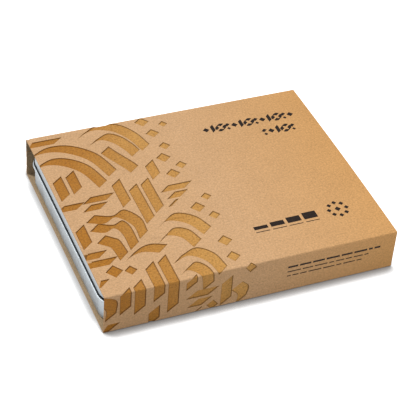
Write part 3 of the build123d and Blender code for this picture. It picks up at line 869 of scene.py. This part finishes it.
def row_tree():
    """Repeats the object's own mesh in a straight row along X."""
    nodes, given = start_tree(
        "row_along_x", "Piece", ("Count", "Int", 2), ("First", "Vector", (0, 0, 0)),
        ("Step", "Vector", (0.09, 0, 0)),
    )
    line = nodes.add("GeometryNodeMeshLine", {
        "Count": given["Count"], "Start Location": given["First"], "Offset": given["Step"],
    })
    row = nodes.add("GeometryNodeInstanceOnPoints", {
        "Points": line.outputs["Mesh"], "Instance": given["Piece"],
    })
    return end_tree(nodes, given, "Row", row.outputs["Instances"])


def evaluated(carrier):
    return bpy.data.meshes.new_from_object(carrier.evaluated_get(bpy.context.evaluated_depsgraph_get()))


def grown(name, seed_mesh, tree, **values):
    """The mesh that a node tree makes of another; values are the tree's named inputs."""
    carrier = put(name, seed_mesh)
    modifier = carrier.modifiers.new(tree.name, "NODES")
    modifier.node_group = tree
    for item in tree.interface.items_tree:
        key = item.name.lower().replace(" ", "_")
        if item.in_out == "INPUT" and key in values:
            modifier[item.identifier] = values[key]
    made = evaluated(carrier)
    bpy.data.objects.remove(carrier)
    return made


def section_mesh(line):
    """Edges along a line of (outwards, height) in mm, as the ring tree wants them."""
    mesh = bpy.data.meshes.new("section")
    edges = [(i, i + 1) for i in range(len(line) - 1)]
    mesh.from_pydata([(point.x * MM, -point.y * MM, 0) for point in line], edges, [])
    return mesh


def close_and_face_out(mesh):
    """Fills open loops and turns faces outwards."""
    shape = bmesh.new()
    shape.from_mesh(mesh)
    bmesh.ops.remove_doubles(shape, verts=shape.verts, dist=1e-7)
    bmesh.ops.holes_fill(shape, edges=[edge for edge in shape.edges if edge.is_boundary], sides=0)
    bmesh.ops.recalc_face_normals(shape, faces=shape.faces)
    if shape.calc_volume(signed=True) < 0:
        bmesh.ops.reverse_faces(shape, faces=shape.faces)
    shape.to_mesh(mesh)
    shape.free()
    return mesh


def block(low, high):
    """A closed box mesh between two corners in mm, for cutting with."""
    shape = bmesh.new()
    corners = [
        shape.verts.new((x * MM, y * MM, z * MM))
        for x in (low[0], high[0]) for y in (low[1], high[1]) for z in (low[2], high[2])
    ]

    for face in ((0, 1, 3, 2), (4, 6, 7, 5), (0, 4, 5, 1), (2, 3, 7, 6), (0, 2, 6, 4), (1, 5, 7, 3)):
        shape.faces.new([corners[i] for i in face])
    return mesh_of("block", shape)


def cut(mesh, *cutters):
    """The mesh with the cutters' space taken out."""
    target = put("target", mesh)
    knives = [put("knife", cutter) for cutter in cutters]
    for knife in knives:
        modifier = target.modifiers.new("cut", "BOOLEAN")
        modifier.operation, modifier.object, modifier.solver = "DIFFERENCE", knife, "EXACT"
    made = evaluated(target)
    for used in (target, *knives):
        bpy.data.objects.remove(used)
    return made


def extruded(outline, left, right):
    """A closed mesh between two places along X, from an outline of (y, z) in mm."""
    shape = bmesh.new()
    ends = [[shape.verts.new((x * MM, y * MM, z * MM)) for y, z in outline] for x in (left, right)]

    shape.faces.new(ends[0])
    shape.faces.new(ends[1][::-1])
    for i in range(len(outline)):
        after = (i + 1) % len(outline)
        shape.faces.new((ends[0][i], ends[1][i], ends[1][after], ends[0][after]))
    bmesh.ops.recalc_face_normals(shape, faces=shape.faces)
    return mesh_of("extruded", shape)


def joined(name, *meshes):
    """Several meshes as one, with the first one's materials."""
    shape = bmesh.new()
    for mesh in meshes:
        shape.from_mesh(mesh)
    made = mesh_of(name, shape)
    for material in meshes[0].materials:
        made.materials.append(material)
    return made


def curl(way, pin, start, gauge):
    """Outline of a tongue of sheet rolled round the wire; way is 1 from below, -1 from above."""
    line = [start, start + Vector((0, way * CURL_START)), pin - Vector((CURL_RADIUS, way * CURL_ENTRY))]
    for step in range(CURL_STEPS + 1):
        turn = math.pi - way * CURL_TURN * step / CURL_STEPS
        line.append(pin + CURL_RADIUS * Vector((math.cos(turn), math.sin(turn))))
    outside = []
    for i, point in enumerate(line):
        edge = (line[min(i + 1, len(line) - 1)] - line[max(i - 1, 0)]).normalized()
        outside.append(point + Vector((-edge.y, edge.x)) * gauge / 2)
    return doubled(outside, -gauge)


class TinPlan:
    """Heights and places of the tin, in mm, from the CAD nodes and the settings."""

    def __init__(self, settings):
        self.settings = settings
        self.gauge = settings.gauge / MM
        self.floor, self.rim = 1000 * BASE_LOW.z, 1000 * BASE_HIGH.z
        self.top = 1000 * LID_HIGH.z
        self.length = 1000 * (LID_HIGH.x - LID_LOW.x)
        self.front = 1000 * LID_LOW.y
        self.reach = settings.bead_reach / MM
        self.back = -1000 * BASE_LOW.y - self.reach - BOARD
        self.bead_low = (settings.bead_level - settings.bead) / MM
        self.bead_top = (settings.bead_level + settings.bead) / MM
        self.lid_edge = self.bead_top + settings.groove / MM
        self.neck = HEM + LID_GAP
        self.border = settings.panel_border / MM
        self.step = settings.panel_step / MM
        self.inset = self.border + 2 * PANEL_SLOPE
        self.pin = Vector((self.back + PIN_REACH, self.bead_top + settings.groove / MM / 2))

    def wall(self, name, line, radii, thickness, material):
        """A closed wall of sheet round the tin's plan, from its section's outside as (outwards, height)."""
        tree = bpy.data.node_groups.get("wall_round_plan") or ring_tree()
        return close_and_face_out(grown(
            name, section_mesh(doubled(rounded(line, radii), thickness)), tree, length=self.length * MM,
            depth=(self.back - self.front) * MM, corner_radius=self.settings.corner,
            corner_steps=self.settings.corner_steps, middle=(0, (self.front + self.back) / 2 * MM, 0),
            finish=material,
        ))

    def windowed(self, wall, inner_y, low_z, high_z):
        """The wall with a window at each hinge."""
        half = WINDOW / 2
        knives = [block((x - half, inner_y, low_z), (x + half, self.back + 3, high_z)) for x in HINGE_PLACES]
        return cut(wall, *knives)

    def hinges(self, name, hinge, material):
        tree = bpy.data.node_groups.get("row_along_x") or row_tree()
        left, right = (place * MM for place in HINGE_PLACES)
        return grown(
            name, hinge, tree, count=2, first=(left, 0, 0), step=(right - left, 0, 0), finish=material,
        )


def base_mesh(plan, material):
    """The drawn base: stepped floor, wall, stop bead, neck with its turned rim, and hinge knuckles."""
    line = (
        (-plan.inset, plan.floor + plan.step), (-plan.border, plan.floor + plan.step),
        (PANEL_SLOPE - plan.border, plan.floor), (0, plan.floor), (0, plan.bead_low),
        (plan.reach, plan.bead_low), (plan.reach, plan.bead_top), (-plan.neck, plan.bead_top),
        (-plan.neck, plan.rim), (-plan.neck - HEM, plan.rim), (-plan.neck - HEM, plan.rim - HEM_RISE),
    )
    radii = (
        PANEL_BEND, PANEL_BEND, plan.settings.foot / MM, BEAD_FOOT_BEND, BEAD_BEND, BEAD_BEND, NECK_BEND,
        HEM_BEND, HEM_BEND,
    )
    wall = plan.wall("tin_wall", line, radii, plan.gauge, material)
    inner_y = plan.back - plan.neck + plan.gauge
    wall = plan.windowed(wall, inner_y, plan.bead_low, plan.lid_edge + HEM)
    # the sheet behind a hinge ends just under the knuckles
    left, right, bevel = plan.back - plan.gauge, plan.back, STRIP_BEVEL
    low, high = plan.bead_low - plan.gauge, plan.pin.y - CURL_RADIUS - plan.gauge
    strip = extruded((
        (left, low), (right, low), (right, high - bevel), (right - bevel, high), (left + bevel, high),
        (left, high - bevel),
    ), -WINDOW / 2, WINDOW / 2)
    roll = curl(1, plan.pin, Vector((plan.back - plan.gauge / 2, plan.bead_low + 0.1)), plan.gauge)
    near, far = BASE_KNUCKLE
    tongues = [extruded(roll, -far, -near), extruded(roll, near, far)]
    hinge = joined("base_hinge", strip, *tongues)
    return finished(joined("tin_base_dressed", wall, plan.hinges("base_hinges", hinge, material)), material)


def lid_mesh(plan, material):
    """The drawn lid: raised panel, skirt with its turned-in edge, and one hinge knuckle on each wire."""
    border_z = plan.top - plan.step
    line = (
        (-plan.inset, plan.top), (-plan.border, plan.top), (PANEL_SLOPE - plan.border, border_z),
        (0, border_z), (0, plan.lid_edge), (-HEM, plan.lid_edge), (-HEM, plan.lid_edge + HEM_RISE),
    )
    # this section runs the other way round, so its inside lies to the line's right
    radii = (PANEL_BEND, PANEL_BEND, plan.settings.lid_edge / MM, HEM_BEND, HEM_BEND)
    wall = plan.wall("tin_cover", line, radii, -plan.gauge, material)
    notch = plan.pin.y + 1.2
    wall = plan.windowed(wall, plan.back - plan.neck, plan.lid_edge - 0.3, notch)
    roll = curl(-1, plan.pin, Vector((plan.back - plan.gauge / 2, notch + 0.3)), plan.gauge)
    hinge = extruded(roll, -LID_KNUCKLE / 2, LID_KNUCKLE / 2)
    return finished(joined("tin_lid_dressed", wall, plan.hinges("lid_hinges", hinge, material)), material)


def finished(mesh, material):
    """Checks a mesh, gives it one finish and smooths it."""
    check_closed(mesh)
    mesh.materials.clear()
    mesh.materials.append(material)
    mesh.shade_smooth()
    mesh.set_sharp_from_angle(angle=math.radians(35))
    return mesh


# ------------------------------------------------------------------ finishes of the contents
def worn_plastic(name, tint, roughness, scale, depth):
    """Moulded plastic or resin: fine texture, soft clouds and faint pale scuffs."""
    plastic = Finish(name)
    grain, cloud = plastic.noise(scale, 3.0, 0.6), plastic.noise(0.15, 3.0, 0.5)
    scuffs = plastic.span(plastic.noise(1.0, 2.0, 0.5, stretch=(0.12, 5.0, 5.0)), 0.62, 0.70)
    shade = plastic.total(plastic.vary(grain, 0.94, 1.06), plastic.vary(cloud, -0.06, 0.08))
    tone = plastic.tinted(rgba(tint), shade)
    tone = plastic.blend(plastic.math("MULTIPLY", scuffs, 0.06), tone, (0.5, 0.5, 0.5, 1))
    rough = plastic.total(plastic.math("MULTIPLY", scuffs, 0.10), roughness, plastic.vary(cloud, -0.04, 0.04))
    return plastic.done({"Base Color": tone, "Roughness": rough}, grain, depth, 0.00008)


def polished_steel(name, tint, roughness):
    """Polished or drawn steel with fine lengthwise lines."""
    steel = Finish(name)
    lines = steel.noise(1.0, 3.0, 0.6, stretch=(0.2, 8.0, 8.0))
    shade = steel.total(steel.vary(lines, 0.95, 1.04), steel.vary(steel.noise(0.3, 3.0, 0.5), -0.05, 0.03))
    rough = steel.total(steel.vary(lines, -0.03, 0.05), roughness)
    shader = {"Base Color": steel.tinted(rgba(tint), shade), "Metallic": 1.0, "Roughness": rough}
    return steel.done(shader, lines, 0.08, 0.00003)


def leaflet_material(settings):
    """Uncoated paper: soft fibre and a slightly browned tone."""
    paper = Finish("leaflet_stock")
    fibre = paper.noise(1.8, 5.0, 0.7)
    shade = paper.total(paper.vary(fibre, 0.96, 1.03), paper.vary(paper.noise(0.06, 2.0, 0.5), -0.03, 0.02))
    tone = paper.tinted(rgba(settings.paper), shade)
    return paper.done({"Base Color": tone, "Roughness": 0.85, "Specular IOR Level": 0.25}, fibre, 0.2, 0.00005)


def dress(material, *names):
    """Gives carried-over CAD nodes their finish."""
    for name in names:
        node = bpy.data.objects[name]
        for slot in node.material_slots:
            slot.material = material
        if not node.material_slots:
            node.data.materials.append(material)

# ------------------------------------------------------------------ operators
class SETBOX_OT_sleeve(bpy.types.Operator):
    """Fold the kraft board sleeve with its pressed strokes and printed marks"""

    bl_idname = "setbox.sleeve"
    bl_label = "Board sleeve"

    def execute(self, context):
        settings = context.scene.setbox_sleeve
        finishes = (
            kraft_material(settings), varnish_material("varnished_kraft", settings), ink_material(settings),
            board_inside_material(settings), cut_edge_material(settings),
            # darker varnish for the strokes' sloping edges: painted shade
            varnish_material("pooled_varnish", settings, 0.45),
        )
        mesh = board_mesh("board_sleeve", settings, finishes)
        check_closed(mesh)
        mesh.shade_smooth()
        mesh.set_sharp_from_angle(angle=math.radians(32))
        place_piece("board_sleeve", mesh, "sleeve", "kraft_board", "sleeve")
        return {"FINISHED"}


class SETBOX_OT_tin(bpy.types.Operator):
    """Draw the tin's base and lid, and roll their hinges"""

    bl_idname = "setbox.tin"
    bl_label = "Hinged tin"

    def execute(self, context):
        settings = context.scene.setbox_tin
        plan = TinPlan(settings)
        # the base's plate is darkened from the bead's top upwards: painted shade in the groove under the lid
        base_finish = plate_material("tinplate_base", settings, 0.97, plan.bead_top - 0.12)
        # the lid's plate is a darker copy of the base's tinplate: painted shade
        lid_finish = plate_material("tinplate_lid", settings, 0.80)
        place_piece("drawn_base", base_mesh(plan, base_finish), "tin", "tinplate", "tin_base")
        place_piece("drawn_lid", lid_mesh(plan, lid_finish), "tin", "tinplate", "tin_lid")
        dress(polished_steel("hinge_wire", (0.55, 0.56, 0.58), 0.3), "hinge_pin_left", "hinge_pin_right")
        return {"FINISHED"}


class SETBOX_OT_contents(bpy.types.Operator):
    """Finish the tray, the leaflet, the pen, its spare nib units and the cartridges"""

    bl_idname = "setbox.contents"
    bl_label = "Contents"

    def execute(self, context):
        settings = context.scene.setbox_contents
        dress(worn_plastic("formed_tray", settings.tray, 0.62, 1.6, 0.25), "tray")
        dress(leaflet_material(settings), "leaflet")
        dress(worn_plastic("pen_resin", settings.resin, 0.16, 3.0, 0.03), "pen_barrel", "pen_cap")
        grip = worn_plastic("grip_plastic", settings.feed, 0.45, 3.5, 0.2)
        dress(grip, "pen_section", "spare_section_1", "spare_section_2")
        feed = worn_plastic("feed_plastic", settings.feed, 0.5, 2.5, 0.25)
        dress(feed, "pen_feed", "spare_feed_1", "spare_feed_2")
        dress(polished_steel("nib_polish", settings.steel, 0.16), "pen_nib", "spare_nib_1", "spare_nib_2")
        dress(polished_steel("trim_polish", settings.steel, 0.12), "cap_band", "cap_finial", "pen_clip")
        filled = worn_plastic("cartridge_plastic", settings.cartridge, 0.28, 2.0, 0.08)
        dress(filled, "fitted_cartridge", "ink_cartridges")
        return {"FINISHED"}


class SETBOX_OT_stage(bpy.types.Operator):
    """Lay the pale floor, light it softly and set the camera"""

    bl_idname = "setbox.stage"
    bl_label = "Stage"

    def execute(self, context):
        settings = context.scene.setbox_stage
        lay_floor(settings)
        hang_lights(settings)
        set_camera(settings)
        return {"FINISHED"}


def seen_directly(nodes):
    """One for rays from the camera, or through gloss or glass; zero for light that falls on things."""
    path = nodes.add("ShaderNodeLightPath").outputs
    seen = nodes.math("MAXIMUM", path["Is Camera Ray"], path["Is Glossy Ray"])
    return nodes.math("MAXIMUM", seen, path["Is Transmission Ray"])


def lay_floor(settings):
    """A pale floor that glows for the camera alone, and less so close to what stands on it: a painted contact
    shadow.
    """
    material = bpy.data.materials.new("pale_floor")
    material.use_nodes = True
    nodes = Nodes(material.node_tree)
    nodes.tree.nodes.remove(nodes.tree.nodes["Principled BSDF"])
    diffuse = nodes.add("ShaderNodeBsdfDiffuse", {"Color": rgba(3 * (settings.floor,))})
    corner = nodes.add("ShaderNodeAmbientOcclusion", {"Distance": 0.0085}, samples=12).outputs["AO"]
    # the glow fades near the object by ambient occlusion: a painted contact shadow, on top of the floor's own
    # lit shadow
    painted_contact_shadow = nodes.math("POWER", corner, 4.5)
    strength = nodes.math("MULTIPLY", nodes.math("MULTIPLY", seen_directly(nodes), painted_contact_shadow), settings.glow)
    glow = nodes.add("ShaderNodeEmission", {"Strength": strength})
    both = nodes.add("ShaderNodeAddShader", {0: diffuse.outputs["BSDF"], 1: glow.outputs["Emission"]})
    nodes.feed(nodes.tree.nodes["Material Output"].inputs["Surface"], both.outputs["Shader"])
    reach = 6.0
    corners = [(-reach, -reach, 0), (reach, -reach, 0), (reach, reach, 0), (-reach, reach, 0)]
    floor = put("floor", mesh_from("floor", corners, [(0, 1, 2, 3)], [material]))


def hang_lights(settings):
    """Light from all round, a soft sun from above, behind and the left, and a lamp at the right front."""
    world = bpy.data.worlds.new("soft_studio")
    bpy.context.scene.world = world
    world.use_nodes = True
    nodes = Nodes(world.node_tree)
    ground = nodes.tree.nodes["Background"]
    nodes.feed(ground.inputs["Color"], (1, 1, 1, 1))
    nodes.feed(ground.inputs["Strength"], nodes.blend(seen_directly(nodes), settings.world, 1.0, "FLOAT"))
    sun = bpy.data.lights.new("key", "SUN")
    sun.energy, sun.angle = settings.key, math.radians(14)
    key = put("key", sun)
    key.rotation_euler = Vector((-0.60, 0.62, 0.95)).to_track_quat("Z", "Y").to_euler()
    lamp = bpy.data.lights.new("side", "AREA")
    lamp.energy, lamp.shape, lamp.size = settings.side, "DISK", 0.22
    side = put("side", lamp)
    side.location = (0.36, -0.44, 0.22)
    side.rotation_euler = (side.location - Vector((0.05, 0, 0.01))).to_track_quat("Z", "Y").to_euler()


def set_camera(settings):
    """The camera, as solved from the sleeve's corners."""
    lens = bpy.data.cameras.new("photo_camera")
    lens.lens, lens.sensor_width, lens.sensor_fit = settings.lens, 36, "HORIZONTAL"
    lens.clip_start, lens.clip_end = 0.01, 50
    camera = put("photo_camera", lens)
    camera.matrix_world = (
        Matrix.Translation(settings.camera) @ Matrix.Rotation(-settings.yaw, 4, "Z")
        @ Matrix.Rotation(math.pi / 2 + settings.pitch, 4, "X") @ Matrix.Rotation(settings.roll, 4, "Z")
    )
    bpy.context.scene.camera = camera
    bpy.context.scene.view_settings.view_transform = "Standard"

OPERATORS = (SETBOX_OT_stage, SETBOX_OT_sleeve, SETBOX_OT_tin, SETBOX_OT_contents)
SETTINGS = {
    "setbox_sleeve": SleeveSettings, "setbox_tin": TinSettings,
    "setbox_contents": ContentsSettings, "setbox_stage": StageSettings,
}


class SETBOX_PT_panel(bpy.types.Panel):
    """Lists the set box's pieces"""

    bl_idname = "SETBOX_PT_panel"
    bl_label = "Calligraphy set box"
    bl_space_type = "VIEW_3D"
    bl_region_type = "UI"
    bl_category = "Set box"

    def draw(self, context):
        for operator in OPERATORS:
            self.layout.operator(operator.bl_idname)


def register():
    for shelf in (*SETTINGS.values(), *OPERATORS, SETBOX_PT_panel):
        bpy.utils.register_class(shelf)
    for name, group in SETTINGS.items():
        setattr(bpy.types.Scene, name, PointerProperty(type=group))


def unregister():
    for name in SETTINGS:
        delattr(bpy.types.Scene, name)
    for shelf in reversed((*SETTINGS.values(), *OPERATORS, SETBOX_PT_panel)):
        bpy.utils.unregister_class(shelf)


def main():
    register()
    for operator in OPERATORS:
        group, name = operator.bl_idname.split(".")
        getattr(getattr(bpy.ops, group), name)()


if __name__ == "__main__":
    main()
